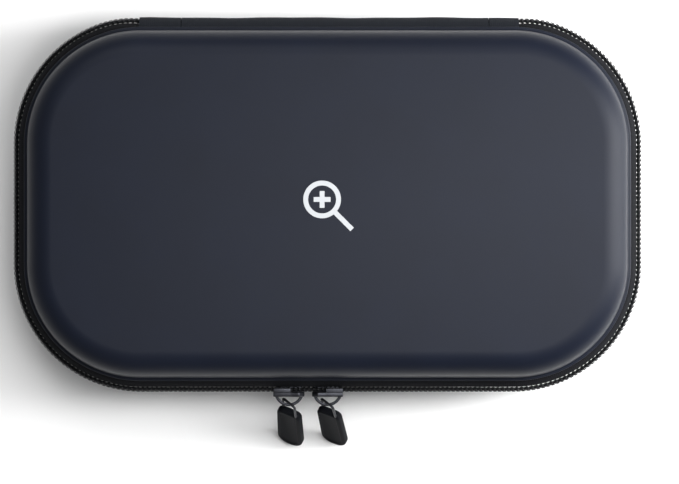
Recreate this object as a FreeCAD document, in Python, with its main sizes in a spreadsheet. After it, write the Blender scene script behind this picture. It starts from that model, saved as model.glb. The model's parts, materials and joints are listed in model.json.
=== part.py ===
"""Hard-shell zip case for a hand-held low vision magnifier.

Two thermoformed half shells, each an outer skin, a foam core and a fabric lining, meet at a coil zip that
runs round three sides. A fabric spine on the fourth side is the hinge. Two sliders with rubber pulls meet at
the middle of the front. Inside are a mesh pocket in the lid and an elastic strap in the base.

Frame: +Z up, +Y towards the spine, +X to the right of somebody who faces the sliders. The origin is the
centre of the base's resting face. Lengths are in millimetres and angles in degrees.

Sections are laid out from two references: the rim's outer edge, with distances counted outwards, and the
middle plane between the two rims, with heights counted away from it. The base is the lid's construction
turned half a turn about Y, so both halves share their sketches' numbers.
"""
import FreeCAD, Part
import math
import operator
import os

import Sketcher
from FreeCAD import Placement, Rotation, Vector

DIMENSIONS = {
    # half shells
    "rim_length": 189.5,
    "rim_depth": 110.5,
    "rim_corner": 36.5,
    "shell_depth": 18.0,
    "rim_gap": 10.0,
    "flange_width": 0.8,
    "flange_height": 2.0,
    "wall_draft": 6.0,
    "shoulder_radius": 8.0,
    "flare_radius": 0.5,
    "skin_thickness": 1.0,
    "foam_thickness": 3.0,
    "lining_thickness": 0.6,
    "flange_skin": 0.8,
    "flange_foam": 0.7,
    # zip tapes and coils
    "tape_thickness": 0.6,
    "tape_seat": 4.65,
    "tape_face": 1.8,
    "tape_parting": 0.35,
    "tape_inner_edge": 4.6,
    "coil_inner": 2.15,
    "coil_outer": 3.4,
    "coil_half": 2.95,
    "coil_parting": 0.15,
    # bindings over the rims' raw edges
    "binding_outer": 1.2,
    "binding_inner": 6.9,
    "binding_thickness": 0.5,
    "binding_seat": 4.25,
    "bead_outer": 4.7,
    "bead_inner": 7.3,
    # spine and end tabs
    "spine_left": 45.7,
    "spine_right": 50.4,
    "tab_left_end": 58.9,
    "tab_right_end": 59.8,
    "seam_gap": 0.2,
    "spine_reach": 3.4,
    "lining_strip_half": 57.0,
    "lining_strip_seat": 3.35,
    "lining_strip_thickness": 0.5,
    "lining_strip_reach": 1.6,
    "lining_strip_edge": 8.2,
    # mesh pocket
    "mesh_thickness": 0.6,
    "mesh_edge": 4.8,
    "mesh_front": 18.0,
    "hem_half_length": 87.4,
    "hem_width": 8.0,
    "hem_leaf": 0.5,
    # elastic strap
    "strap_width": 30.0,
    "strap_thickness": 1.2,
    "strap_half_span": 38.0,
    "strap_anchor": 9.0,
    "strap_slope": 7.0,
    "strap_rise": 3.0,
    "patch_margin": 2.0,
    "patch_thickness": 0.5,
    "layer_gap": 0.05,
    # sliders
    "left_slider_centre": -12.1,
    "right_slider_centre": 0.0,
    "slider_length": 9.7,
    "slider_tail": 5.4,
    "tail_half": 4.0,
    "nose_half": 4.3,
    "nose_chamfer": 1.7,
    "plate_thickness": 1.5,
    "plate_play": 0.2,
    "inner_plate_face": 0.2,
    "inner_plate_thickness": 1.0,
    "inner_plate_half": 2.7,
    "guide_setback": 0.8,
    "guide_web": 0.2,
    "lip_play": 0.3,
    "lip_reach": 1.2,
    "crown_span": 8.75,
    "crown_rise": 3.1,
    "crown_thickness": 0.85,
    "crown_height": 1.3,
    # pulls, measured from the middle of the crown's strip
    "pull_tilt": 30.0,
    "loop_twist": 43.0,
    "tab_twist": 25.0,
    "left_pull_lean": 1.0,
    "right_pull_lean": 6.0,
    "loop_wire": 0.8,
    "loop_half_width": 2.6,
    "loop_top": 1.35,
    "loop_foot": 5.6,
    "loop_bend": 0.85,
    "pull_top": 4.0,
    "pull_tip": 25.3,
    "pull_width": 8.6,
    "pull_thickness": 2.6,
    "pull_corner": 3.4,
    "pull_border": 1.3,
    "pull_recess": 0.3,
    # flat magnifier sign on the lid
    "sign_film": 0.1,
    "sign_stroke": 1.5,
    "sign_ring": 5.8,
    "sign_handle": 8.0,
    "sign_plus": 2.6,
    "sign_offset_x": -1.6,
    "sign_offset_y": 1.2,
}
SAME_HEIGHT = 1e-4


class Size:
    """A number together with the expression over the sheet that gives it."""

    def __init__(self, text, value):
        self.text = text
        self.value = value

    def __add__(self, other):
        return combine(self, "+", other, operator.add)

    def __radd__(self, other):
        return combine(other, "+", self, operator.add)

    def __sub__(self, other):
        return combine(self, "-", other, operator.sub)

    def __rsub__(self, other):
        return combine(other, "-", self, operator.sub)

    def __mul__(self, other):
        return combine(self, "*", other, operator.mul)

    def __rmul__(self, other):
        return combine(other, "*", self, operator.mul)

    def __truediv__(self, other):
        return combine(self, "/", other, operator.truediv)

    def __rtruediv__(self, other):
        return combine(other, "/", self, operator.truediv)

    def __neg__(self):
        return combine(0, "-", self, operator.sub)


def as_size(number):
    return number if isinstance(number, Size) else Size(repr(float(number)), float(number))


def combine(left, sign, right, operation):
    left, right = as_size(left), as_size(right)
    return Size(f"({left.text} {sign} {right.text})", operation(left.value, right.value))


def cosine(angle):
    return Size(f"cos({angle.text})", math.cos(math.radians(angle.value)))


def root(square):
    return Size(f"sqrt({square.text})", math.sqrt(square.value))


class Sizes:
    """The sheet's cells by alias, each as a Size."""

    def __getattr__(self, alias):
        return Size(f"sizes.{alias}", DIMENSIONS[alias])


doc = FreeCAD.newDocument("magnifier_case")
sheet = doc.addObject("Spreadsheet::Sheet", "sizes")
for row, (alias, value) in enumerate(DIMENSIONS.items(), start=1):
    sheet.set(f"A{row}", alias)
    sheet.set(f"B{row}", str(value))
    sheet.setAlias(f"B{row}", alias)
doc.recompute()

d = Sizes()
subparts = []


def bind(thing, prop, size):
    """Tie a property of an object to the sheet."""
    thing.setExpression(prop, as_size(size).text)


def keep(thing, name):
    """Name a finished sub-part and put it on the list of what is written."""
    thing.Label = name
    subparts.append(thing)
    return thing


def new_body(name):
    body = doc.addObject("PartDesign::Body", name)
    body.AllowCompound = True
    return body


def sketch_on(body, role, offset=0, rise=0):
    """A sketch on one of the body's own planes, moved along its normal by offset and up its y axis by rise."""
    sketch = body.newObject("Sketcher::SketchObject", body.Name + "_sketch")
    plane = next(item for item in body.Origin.OriginFeatures if item.Role == role)
    sketch.AttachmentSupport = [(plane, "")]
    sketch.MapMode = "FlatFace"
    bind(sketch, "AttachmentOffset.Base.z", offset)
    bind(sketch, "AttachmentOffset.Base.y", rise)
    return sketch


def constrain(sketch, kind, *references, size=None):
    if size is None:
        sketch.addConstraint(Sketcher.Constraint(kind, *references))
        return
    index = sketch.addConstraint(Sketcher.Constraint(kind, *references, size.value))
    sketch.setExpression(f"Constraints[{index}]", size.text)


def pin_point(sketch, edge, vertex, x=None, y=None):
    """Tie a point to the sketch's origin along x, along y, or both."""
    for size, kind, axis in ((x, "DistanceX", -2), (y, "DistanceY", -1)):
        if size is None:
            continue
        size = as_size(size)
        if size.value == 0:
            constrain(sketch, "PointOnObject", edge, vertex, axis)
        else:
            constrain(sketch, kind, -1, 1, edge, vertex, size=size)


def rounded_rectangle(sketch, half_x, half_y, corner):
    """Four lines and four tangent arcs about the sketch's origin."""
    half_x, half_y, corner = as_size(half_x), as_size(half_y), as_size(corner)
    far_x, far_y = half_x.value, half_y.value
    near_x, near_y = far_x - corner.value, far_y - corner.value
    quarter = math.pi / 2
    ends = [
        ((far_x, -near_y), (far_x, near_y)),
        ((near_x, far_y), (-near_x, far_y)),
        ((-far_x, near_y), (-far_x, -near_y)),
        ((-near_x, -far_y), (near_x, -far_y)),
    ]
    centres = [(near_x, near_y), (-near_x, near_y), (-near_x, -near_y), (near_x, -near_y)]
    edges = []
    for turn, (start, end) in enumerate(ends):
        line = Part.LineSegment(Vector(*start, 0), Vector(*end, 0))
        circle = Part.Circle(Vector(*centres[turn], 0), Vector(0, 0, 1), corner.value)
        arc = Part.ArcOfCircle(circle, turn * quarter, (turn + 1) * quarter)
        edges.append(sketch.addGeometry(line, False))
        edges.append(sketch.addGeometry(arc, False))
    for edge, following in zip(edges, edges[1:] + edges[:1]):
        constrain(sketch, "Tangent", edge, 2, following, 1)
    right, top, left, bottom = edges[0::2]
    constrain(sketch, "Vertical", right)
    constrain(sketch, "Horizontal", top)
    constrain(sketch, "Vertical", left)
    constrain(sketch, "Horizontal", bottom)
    for arc in edges[3::2]:
        constrain(sketch, "Equal", edges[1], arc)
    constrain(sketch, "Radius", edges[1], size=corner)
    pin_point(sketch, right, 1, x=half_x)
    pin_point(sketch, top, 1, y=half_y)
    pin_point(sketch, left, 1, x=-half_x)
    pin_point(sketch, bottom, 1, y=-half_y)
    return sketch


def profile(sketch, corners, centres=None):
    """A closed outline through the corners.

    centres gives, for the edge that leaves a corner, the centre of its arc and whether it runs clockwise.
    """
    centres = centres or {}
    corners = [(as_size(x), as_size(y)) for x, y in corners]
    edges = []
    for number, (start, end) in enumerate(zip(corners, corners[1:] + corners[:1])):
        start_at = Vector(start[0].value, start[1].value, 0)
        end_at = Vector(end[0].value, end[1].value, 0)
        if number not in centres:
            edge = sketch.addGeometry(Part.LineSegment(start_at, end_at), False)
            edges.append((edge, 1, 2))
            continue
        centre_x, centre_y, clockwise = centres[number]
        centre = Vector(as_size(centre_x).value, as_size(centre_y).value, 0)
        circle = Part.Circle(centre, Vector(0, 0, 1), (start_at - centre).Length)
        angles = [math.atan2(point.y - centre.y, point.x - centre.x) for point in (start_at, end_at)]
        if clockwise:
            angles.reverse()
        edge = sketch.addGeometry(Part.ArcOfCircle(circle, *angles), False)
        edges.append((edge, 2, 1) if clockwise else (edge, 1, 2))
        chord = end_at - start_at
        if abs(chord.x) > abs(chord.y):
            pin_point(sketch, edge, 3, y=centre_y)
        else:
            pin_point(sketch, edge, 3, x=centre_x)
    for (edge, _, last), (following, first, _) in zip(edges, edges[1:] + edges[:1]):
        constrain(sketch, "Coincident", edge, last, following, first)
    for (edge, first, _), (x, y) in zip(edges, corners):
        pin_point(sketch, edge, first, x=x, y=y)
    return sketch


def rectangle(sketch, left, bottom, right, top):
    return profile(sketch, [(left, bottom), (right, bottom), (right, top), (left, top)])


def pad(body, sketch, length, taper=None, both_ways=False):
    feature = body.newObject("PartDesign::Pad", body.Name + "_pad")
    feature.Profile = sketch
    bind(feature, "Length", length)
    if taper is not None:
        bind(feature, "TaperAngle", taper)
    if both_ways:
        feature.SideType = "Symmetric"
    doc.recompute()
    return feature


def round_edges(body, base, edges, radius):
    names = [f"Edge{number}" for number, edge in enumerate(base.Shape.Edges, start=1)
             if any(edge.isSame(chosen) for chosen in edges)]
    feature = body.newObject("PartDesign::Fillet", body.Name + "_fillet")
    feature.Base = (base, names)
    bind(feature, "Radius", radius)
    doc.recompute()
    return feature


def rim_outline(sketch, inset):
    """The rim's outline moved inwards by inset."""
    return rounded_rectangle(sketch, d.rim_length / 2 - inset, d.rim_depth / 2 - inset, d.rim_corner - inset)


def rim_ring(body, outer_inset, inner_inset, bottom, height):
    """A band that follows the rim between two insets."""
    sketch = sketch_on(body, "XY_Plane", bottom)
    rim_outline(sketch, outer_inset)
    rim_outline(sketch, inner_inset)
    return pad(body, sketch, height)


middle = d.shell_depth + d.rim_gap / 2
HALVES = {"base": Rotation(Vector(0, 1, 0), 180), "lid": Rotation()}


def place_half(thing, half):
    """Put a piece that is built about the middle plane into the base or the lid."""
    thing.Placement = Placement(Vector(0, 0, middle.value), HALVES[half])
    bind(thing, "Placement.Base.z", middle)


def place_middle(thing):
    """Put a piece that belongs to the middle plane at its height."""
    thing.Placement = Placement(Vector(0, 0, middle.value), Rotation())
    bind(thing, "Placement.Base.z", middle)


def back(reach):
    """Y of a point that far outside the rim on the spine's side."""
    return d.rim_depth / 2 + reach


def front(reach):
    """Y of a point that far outside the rim on the sliders' side."""
    return -(d.rim_depth / 2 + reach)


# Half shells: nested solids, each cut from the one outside it ------------------------------------------------

def shell_form(name, depth, rim_inset, rim_height):
    """A closed half-shell solid whose face lies that deep inside the skin's; rim_height 0 leaves no flange."""
    body = new_body(name)
    inset = d.flange_width + depth / cosine(d.wall_draft)
    wall = rim_outline(sketch_on(body, "XY_Plane", d.rim_gap / 2), inset)
    feature = pad(body, wall, d.shell_depth - depth, taper=-d.wall_draft)
    crown = feature.Shape.BoundBox.ZMax
    rim_of_crown = [edge for edge in feature.Shape.Edges
                    if all(abs(vertex.Z - crown) < SAME_HEIGHT for vertex in edge.Vertexes)]
    feature = round_edges(body, feature, rim_of_crown, d.shoulder_radius - depth)
    if as_size(rim_height).value == 0:
        return body
    flange = rim_outline(sketch_on(body, "XY_Plane", d.rim_gap / 2), rim_inset)
    feature = pad(body, flange, rim_height)
    level = (d.rim_gap / 2 + rim_height).value
    flange_face = next(face for face in feature.Shape.Faces
                       if len(face.Wires) == 2 and abs(face.CenterOfMass.z - level) < SAME_HEIGHT)
    inner_wire = min(flange_face.Wires, key=lambda wire: wire.BoundBox.DiagonalLength)
    round_edges(body, feature, inner_wire.Edges, d.flare_radius)
    return body


foam_depth = d.skin_thickness
lining_depth = d.skin_thickness + d.foam_thickness
cavity_depth = lining_depth + d.lining_thickness
foam_rim = d.flange_height - d.flange_skin
lining_rim = foam_rim - d.flange_foam

skin_form = shell_form("skin_form", 0, 0, d.flange_height)
foam_form = shell_form("foam_form", foam_depth, d.flange_skin, foam_rim)
lining_form = shell_form("lining_form", lining_depth, d.flange_skin, lining_rim)
cavity_form = shell_form("cavity_form", cavity_depth, 0, 0)

LAYERS = (("skin", skin_form, foam_form), ("foam", foam_form, lining_form), ("lining", lining_form, cavity_form))
for half in HALVES:
    for layer, outside, inside in LAYERS:
        shell = doc.addObject("Part::Cut", f"{half}_{layer}")
        shell.Base = outside
        shell.Tool = inside
        place_half(shell, half)
        keep(shell, f"{half}_{layer}")


# Bindings over the rims' raw edges; the base's has a bead that fills the step up to its lining ---------------

for half in HALVES:
    body = new_body(f"{half}_binding")
    rim_ring(body, d.binding_outer, d.binding_inner, d.binding_seat - d.binding_thickness, d.binding_thickness)
    if half == "base":
        bottom = d.binding_seat - d.binding_thickness
        rim_ring(body, d.bead_outer, d.bead_inner, bottom, d.tape_seat + d.tape_thickness / 2 - bottom)
    place_half(body, half)
    keep(body, f"{half}_binding")


# Zip tapes and coils: bands round the rim, open at the back between the end tabs -----------------------------

def open_back(body, left_end, right_end):
    """Take the stretch between the end tabs out of a band that runs all round."""
    sketch = sketch_on(body, "XY_Plane")
    rectangle(sketch, -(left_end + d.seam_gap), back(-2 * d.tape_inner_edge),
              right_end + d.seam_gap, back(2 * d.coil_outer))
    before = body.Shape.Volume
    feature = body.newObject("PartDesign::Pocket", body.Name + "_opening")
    feature.Profile = sketch
    feature.Type = "ThroughAll"
    feature.SideType = "Symmetric"
    doc.recompute()
    if feature.Shape.Volume >= before:
        raise ValueError(f"{body.Name}: the opening cuts nothing")


for half in HALVES:
    # the base is turned about Y, so its left and right ends change places
    ends = (d.tab_right_end, d.tab_left_end) if half == "base" else (d.tab_left_end, d.tab_right_end)

    tape = new_body(f"{half}_zip_tape")
    outside = d.tape_face + d.tape_thickness / 2
    leg_bottom = d.tape_seat - d.tape_thickness / 2
    rim_ring(tape, -outside, d.tape_thickness - outside, d.tape_parting, leg_bottom - d.tape_parting)
    rim_ring(tape, -outside, d.tape_inner_edge, leg_bottom, d.tape_thickness)
    open_back(tape, *ends)
    place_half(tape, half)
    keep(tape, f"{half}_zip_tape")

    coil = new_body(f"{half}_zip_coil")
    rim_ring(coil, -d.coil_outer, -d.coil_inner, d.coil_parting, d.coil_half - d.coil_parting)
    open_back(coil, *ends)
    place_half(coil, half)
    keep(coil, f"{half}_zip_coil")


# Spine, its lining strip and the end tabs: strips folded round the gap at the back ---------------------------

def folded_strip(name, left, right, seat, thickness, reach, edge):
    """A strip whose section is a half round between two flat legs, from x = left to x = right."""
    body = new_body(name)
    outer = seat + thickness / 2
    inner = seat - thickness / 2
    leg_end = back(-edge)
    bend = back(reach) - outer
    corners = [(leg_end, -outer), (bend, -outer), (bend, outer), (leg_end, outer),
               (leg_end, inner), (bend, inner), (bend, -inner), (leg_end, -inner)]
    sketch = sketch_on(body, "YZ_Plane", left)
    profile(sketch, corners, {1: (bend, 0, False), 5: (bend, 0, True)})
    pad(body, sketch, right - left)
    place_middle(body)
    return keep(body, name)


STRIPS = (
    ("spine_strip", -d.spine_left, d.spine_right),
    ("left_end_tab", -d.tab_left_end, -(d.spine_left + d.seam_gap)),
    ("right_end_tab", d.spine_right + d.seam_gap, d.tab_right_end),
)
for name, left, right in STRIPS:
    folded_strip(name, left, right, d.tape_seat, d.tape_thickness, d.spine_reach, d.tape_inner_edge)
folded_strip("spine_lining", -d.lining_strip_half, d.lining_strip_half, d.lining_strip_seat,
             d.lining_strip_thickness, d.lining_strip_reach, d.lining_strip_edge)


# Mesh pocket across the lid, and the elastic hem of its open edge --------------------------------------------

mesh_bottom = d.tape_seat - d.mesh_thickness / 2
mesh_half_x = d.rim_length / 2 - d.mesh_edge
mesh_half_y = d.rim_depth / 2 - d.mesh_edge
mesh_corner = d.rim_corner - d.mesh_edge
mesh_straight = mesh_half_x - mesh_corner
mesh_turn = mesh_half_y - mesh_corner

mesh = new_body("mesh_pocket")
mesh_sketch = sketch_on(mesh, "XY_Plane", mesh_bottom)
profile(
    mesh_sketch,
    [(-mesh_half_x, -d.mesh_front), (mesh_half_x, -d.mesh_front), (mesh_half_x, mesh_turn),
     (mesh_straight, mesh_half_y), (-mesh_straight, mesh_half_y), (-mesh_half_x, mesh_turn)],
    {2: (mesh_straight, mesh_turn, False), 4: (-mesh_straight, mesh_turn, False)},
)
pad(mesh, mesh_sketch, d.mesh_thickness)
place_half(mesh, "lid")
keep(mesh, "mesh_pocket")

hem = new_body("pocket_elastic")
hem_front = -(d.mesh_front + d.hem_leaf)
hem_back = hem_front + d.hem_width
hem_low = mesh_bottom - d.hem_leaf
hem_high = mesh_bottom + d.mesh_thickness + d.hem_leaf
mesh_top = mesh_bottom + d.mesh_thickness
hem_sketch = sketch_on(hem, "YZ_Plane")
profile(
    hem_sketch,
    [(hem_front, hem_low), (hem_back, hem_low), (hem_back, mesh_bottom), (-d.mesh_front, mesh_bottom),
     (-d.mesh_front, mesh_top), (hem_back, mesh_top), (hem_back, hem_high), (hem_front, hem_high)],
)
pad(hem, hem_sketch, d.hem_half_length * 2, both_ways=True)
place_half(hem, "lid")
keep(hem, "pocket_elastic")


# Elastic strap across the base's floor, and the patches that it is sewn under --------------------------------

floor_level = cavity_depth + d.layer_gap
strap_top = floor_level + d.strap_thickness
anchor_start = d.strap_half_span - d.strap_anchor
slope_end = anchor_start - d.strap_slope

strap = new_body("strap_elastic")
strap_sketch = sketch_on(strap, "YZ_Plane")
profile(
    strap_sketch,
    [(-d.strap_half_span, floor_level), (-anchor_start, floor_level), (-slope_end, floor_level + d.strap_rise),
     (slope_end, floor_level + d.strap_rise), (anchor_start, floor_level), (d.strap_half_span, floor_level),
     (d.strap_half_span, strap_top), (anchor_start, strap_top), (slope_end, strap_top + d.strap_rise),
     (-slope_end, strap_top + d.strap_rise), (-anchor_start, strap_top), (-d.strap_half_span, strap_top)],
)
pad(strap, strap_sketch, d.strap_width, both_ways=True)
keep(strap, "strap_elastic")

patches = new_body("strap_anchor_patches")
patch_sketch = sketch_on(patches, "XY_Plane", strap_top + d.layer_gap)
patch_half = d.strap_width / 2 + d.patch_margin
patch_outer = d.strap_half_span + d.patch_margin
rectangle(patch_sketch, -patch_half, -patch_outer, patch_half, -anchor_start)
rectangle(patch_sketch, -patch_half, anchor_start, patch_half, patch_outer)
pad(patches, patch_sketch, d.patch_thickness)
keep(patches, "strap_anchor_patches")


# Flat magnifier sign on the lid: a ring, a handle and a plus -------------------------------------------------

sign = new_body("lid_emblem")
lid_face = d.shell_depth + d.rim_gap / 2
ring_inner = d.sign_ring - d.sign_stroke
ring_sketch = sketch_on(sign, "XY_Plane", lid_face)
for radius in (d.sign_ring, ring_inner):
    circle = ring_sketch.addGeometry(Part.Circle(Vector(0, 0, 0), Vector(0, 0, 1), radius.value), False)
    constrain(ring_sketch, "Coincident", circle, 3, -1, 1)
    constrain(ring_sketch, "Radius", circle, size=radius)
pad(sign, ring_sketch, d.sign_film)
half_stroke = d.sign_stroke / 2
HANDLE_TURN = -45
bar_sketch = sketch_on(sign, "XY_Plane", lid_face)
bar_sketch.AttachmentOffset = Placement(bar_sketch.AttachmentOffset.Base, Rotation(Vector(0, 0, 1), HANDLE_TURN))
bar_start = d.sign_ring - d.sign_stroke / 2
rectangle(bar_sketch, bar_start, -half_stroke, bar_start + d.sign_handle, half_stroke)
pad(sign, bar_sketch, d.sign_film)
plus_sketch = sketch_on(sign, "XY_Plane", lid_face)
arm = d.sign_plus
profile(
    plus_sketch,
    [(-arm, -half_stroke), (-half_stroke, -half_stroke), (-half_stroke, -arm), (half_stroke, -arm),
     (half_stroke, -half_stroke), (arm, -half_stroke), (arm, half_stroke), (half_stroke, half_stroke),
     (half_stroke, arm), (-half_stroke, arm), (-half_stroke, half_stroke), (-arm, half_stroke)],
)
pad(sign, plus_sketch, d.sign_film)
bind(sign, "Placement.Base.x", d.sign_offset_x)
bind(sign, "Placement.Base.y", d.sign_offset_y)
bind(sign, "Placement.Base.z", middle)
keep(sign, "lid_emblem")


# Sliders: outer plate, web between the coils, inner plate, and a lip under the base's coil -------------------

plate_face = d.coil_outer + d.plate_play
plate_outer = plate_face + d.plate_thickness
inner_plate_outer = d.inner_plate_face + d.inner_plate_thickness


def front_pad(body, corners, start, length):
    """Pad an outline in X and Z outwards from that far outside the rim at the front."""
    sketch = sketch_on(body, "XZ_Plane", d.rim_depth / 2 + start)
    profile(sketch, corners)
    return pad(body, sketch, length)


def slider_body(name, nose_side):
    """A slider with its middle at x = 0; nose_side is +1 where its nose points to +X."""
    body = new_body(name)
    half = d.slider_length / 2
    outline = [(-half, -d.tail_half), (half - d.nose_chamfer, -d.nose_half),
               (half, -(d.nose_half - d.nose_chamfer)), (half, d.nose_half - d.nose_chamfer),
               (half - d.nose_chamfer, d.nose_half), (-half, d.tail_half)]
    guide = half - d.guide_setback
    web_half = d.guide_web / 2
    web = [(-guide, -web_half), (guide, -web_half), (guide, web_half), (-guide, web_half)]
    inner = [(-guide, -d.inner_plate_half), (guide, -d.inner_plate_half),
             (guide, d.inner_plate_half), (-guide, d.inner_plate_half)]
    lip_top = -(d.coil_half + d.lip_play)
    lip_end = d.slider_tail - half
    lip = [(-half, -d.tail_half), (lip_end, -d.tail_half), (lip_end, lip_top), (-half, lip_top)]
    stages = ((outline, plate_face, d.plate_thickness), (web, inner_plate_outer, plate_face - inner_plate_outer),
              (inner, d.inner_plate_face, d.inner_plate_thickness), (lip, plate_face - d.lip_reach, d.lip_reach))
    for corners, start, length in stages:
        turned = [(nose_side * x, z) for x, z in corners]
        front_pad(body, turned, start, length)
    return body


def slider_crown(name):
    """The arch on the outer plate that the pull's loop hangs on."""
    body = new_body(name)
    outer_radius = (d.crown_span * d.crown_span / 4 + d.crown_rise * d.crown_rise) / (2 * d.crown_rise)
    inner_radius = outer_radius - d.crown_thickness
    sag = outer_radius - d.crown_rise
    foot = front(plate_outer)
    centre = foot + sag
    outer_x = d.crown_span / 2
    inner_x = root(inner_radius * inner_radius - sag * sag)
    sketch = sketch_on(body, "XY_Plane")
    profile(sketch, [(-outer_x, foot), (outer_x, foot), (inner_x, foot), (-inner_x, foot)],
            {0: (0, centre, False), 2: (0, centre, True)})
    pad(body, sketch, d.crown_height, both_ways=True)
    return body


# Pulls: a wire loop through the arch and a rubber tab moulded round its foot. Each is drawn hanging straight
# down from the middle of the arch's strip, then twisted about its length, leant sideways and tilted outwards.

def pull_loop(name):
    body = new_body(name)
    half_height = (d.loop_top + d.loop_foot) / 2
    rise = (d.loop_top - d.loop_foot) / 2
    path = rounded_rectangle(sketch_on(body, "XZ_Plane", 0, rise), d.loop_half_width, half_height, d.loop_bend)
    section = sketch_on(body, "YZ_Plane")
    circle = section.addGeometry(Part.Circle(Vector(0, d.loop_top.value, 0), Vector(0, 0, 1), 1), False)
    pin_point(section, circle, 3, x=0, y=d.loop_top)
    constrain(section, "Radius", circle, size=d.loop_wire / 2)
    wire = body.newObject("PartDesign::AdditivePipe", name + "_wire")
    wire.Profile = section
    wire.Spine = (path, [])
    doc.recompute()
    return body


def pull_tab(name):
    """A flat tab with a raised border round a recessed panel on both faces."""
    body = new_body(name)
    half_height = (d.pull_tip - d.pull_top) / 2
    rise = -(d.pull_tip + d.pull_top) / 2
    half_width = d.pull_width / 2
    border = sketch_on(body, "XZ_Plane", 0, rise)
    rounded_rectangle(border, half_width, half_height, d.pull_corner)
    rounded_rectangle(border, half_width - d.pull_border, half_height - d.pull_border,
                      d.pull_corner - d.pull_border)
    pad(body, border, d.pull_thickness, both_ways=True)
    panel = sketch_on(body, "XZ_Plane", 0, rise)
    rounded_rectangle(panel, half_width, half_height, d.pull_corner)
    pad(body, panel, d.pull_thickness - 2 * d.pull_recess, both_ways=True)
    return body


def place_pull(body, twist, lean, centre):
    tilted = Rotation(Vector(-1, 0, 0), d.pull_tilt.value)
    leant = Rotation(Vector(0, -1, 0), lean.value)
    twisted = Rotation(Vector(0, 0, 1), -twist.value)
    reach = plate_outer + d.crown_rise - d.crown_thickness / 2
    body.Placement = Placement(Vector(0, 0, 0), tilted * leant * twisted)
    bind(body, "Placement.Base.x", centre)
    bind(body, "Placement.Base.y", front(reach))
    bind(body, "Placement.Base.z", middle)


SLIDERS = (
    ("left", d.left_slider_centre, 1, d.left_pull_lean),
    ("right", d.right_slider_centre, -1, d.right_pull_lean),
)
for side, centre, nose_side, lean in SLIDERS:
    body = slider_body(f"{side}_slider_body", nose_side)
    crown = slider_crown(f"{side}_slider_crown")
    for piece in (body, crown):
        place_middle(piece)
        bind(piece, "Placement.Base.x", centre)
        keep(piece, piece.Name)

    loop = pull_loop(f"{side}_pull_loop")
    place_pull(loop, d.loop_twist, lean, centre)
    keep(loop, f"{side}_pull_loop")

    blank = pull_tab(f"{side}_tab_blank")
    place_pull(blank, d.tab_twist, lean, centre)
    tab = doc.addObject("Part::Cut", f"{side}_pull_tab")
    tab.Base = blank
    tab.Tool = loop
    keep(tab, f"{side}_pull_tab")


# Check and write ----------------------------------------------------------------------------------------------

doc.recompute()
failed = [thing.Label for thing in doc.Objects if {"Invalid", "Error"} & set(thing.State)]
if failed:
    raise ValueError(f"failed to recompute: {failed}")
for thing in subparts:
    if thing.Shape.isNull() or not thing.Shape.isValid():
        raise ValueError(f"{thing.Label}: null or invalid shape")
    if not thing.Shape.Solids:
        raise ValueError(f"{thing.Label}: no solid")

os.makedirs("parts", exist_ok=True)
for thing in subparts:
    thing.Shape.exportStep(f"parts/{thing.Label}.step")
    box = thing.Shape.BoundBox
    print(f"{thing.Label}: {len(thing.Shape.Solids)} solid, {thing.Shape.Volume:.1f} mm3, "
          f"x {box.XMin:.2f}..{box.XMax:.2f}, y {box.YMin:.2f}..{box.YMax:.2f}, z {box.ZMin:.2f}..{box.ZMax:.2f}")
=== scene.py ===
# %% [markdown]
# # A moulded zip case, one piece at a time
# The case is two thermoformed half shells that meet at a coil zip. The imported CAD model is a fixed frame:
# it says where every part is and how it moves. This lesson adds what the eye sees: soft shoulders, woven
# tape, separate coil turns, stitches, a net pocket and rubber pulls.

# %% Load the frame
import json
import math

import bmesh
import bpy
import numpy as np
from mathutils import Matrix, Vector


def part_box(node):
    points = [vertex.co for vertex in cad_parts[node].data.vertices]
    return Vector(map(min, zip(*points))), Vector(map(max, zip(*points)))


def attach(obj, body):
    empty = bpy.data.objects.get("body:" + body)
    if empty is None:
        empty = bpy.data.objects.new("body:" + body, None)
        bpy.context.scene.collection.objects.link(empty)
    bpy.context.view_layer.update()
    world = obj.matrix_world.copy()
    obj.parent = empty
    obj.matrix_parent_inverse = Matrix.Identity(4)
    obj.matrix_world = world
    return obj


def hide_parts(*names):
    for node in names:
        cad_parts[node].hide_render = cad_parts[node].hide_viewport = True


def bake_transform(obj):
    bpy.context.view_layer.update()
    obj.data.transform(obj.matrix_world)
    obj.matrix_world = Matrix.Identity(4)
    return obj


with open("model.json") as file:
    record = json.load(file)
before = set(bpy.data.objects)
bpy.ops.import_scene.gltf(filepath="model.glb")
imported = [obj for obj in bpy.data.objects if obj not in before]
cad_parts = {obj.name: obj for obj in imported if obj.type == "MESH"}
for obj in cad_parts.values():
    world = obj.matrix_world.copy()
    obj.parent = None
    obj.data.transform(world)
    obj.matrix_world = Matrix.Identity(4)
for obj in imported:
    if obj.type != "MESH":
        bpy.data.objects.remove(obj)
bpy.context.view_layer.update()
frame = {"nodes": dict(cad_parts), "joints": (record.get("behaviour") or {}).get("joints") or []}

# %% [markdown]
# ## Sizes from the frame
# Everything hangs on the rim, so its size and height come from the two skins. Lengths here are millimetres,
# because that is how such a case is drawn, and one factor turns them to metres when a mesh is made.

# %% The rim's size and height
MM = 0.001


def node_box(node):
    """A node's lowest and highest corners, in millimetres."""
    low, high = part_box(node)
    return np.array(low) / MM, np.array(high) / MM


lid_low, lid_high = node_box("lid_skin")
_, base_high = node_box("base_skin")
RIM_X, RIM_Y = float(lid_high[0]), float(lid_high[1])
RIM_CORNER = 36.5
MIDDLE = float(lid_low[2] + base_high[2]) / 2
GAP = float(lid_low[2]) - MIDDLE
TOP = float(lid_high[2]) - MIDDLE
print(f"rim {2 * RIM_X:.1f} x {2 * RIM_Y:.1f} mm, middle plane at {MIDDLE:.1f} mm,",
      f"lid face {TOP:.1f} above it")

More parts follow.
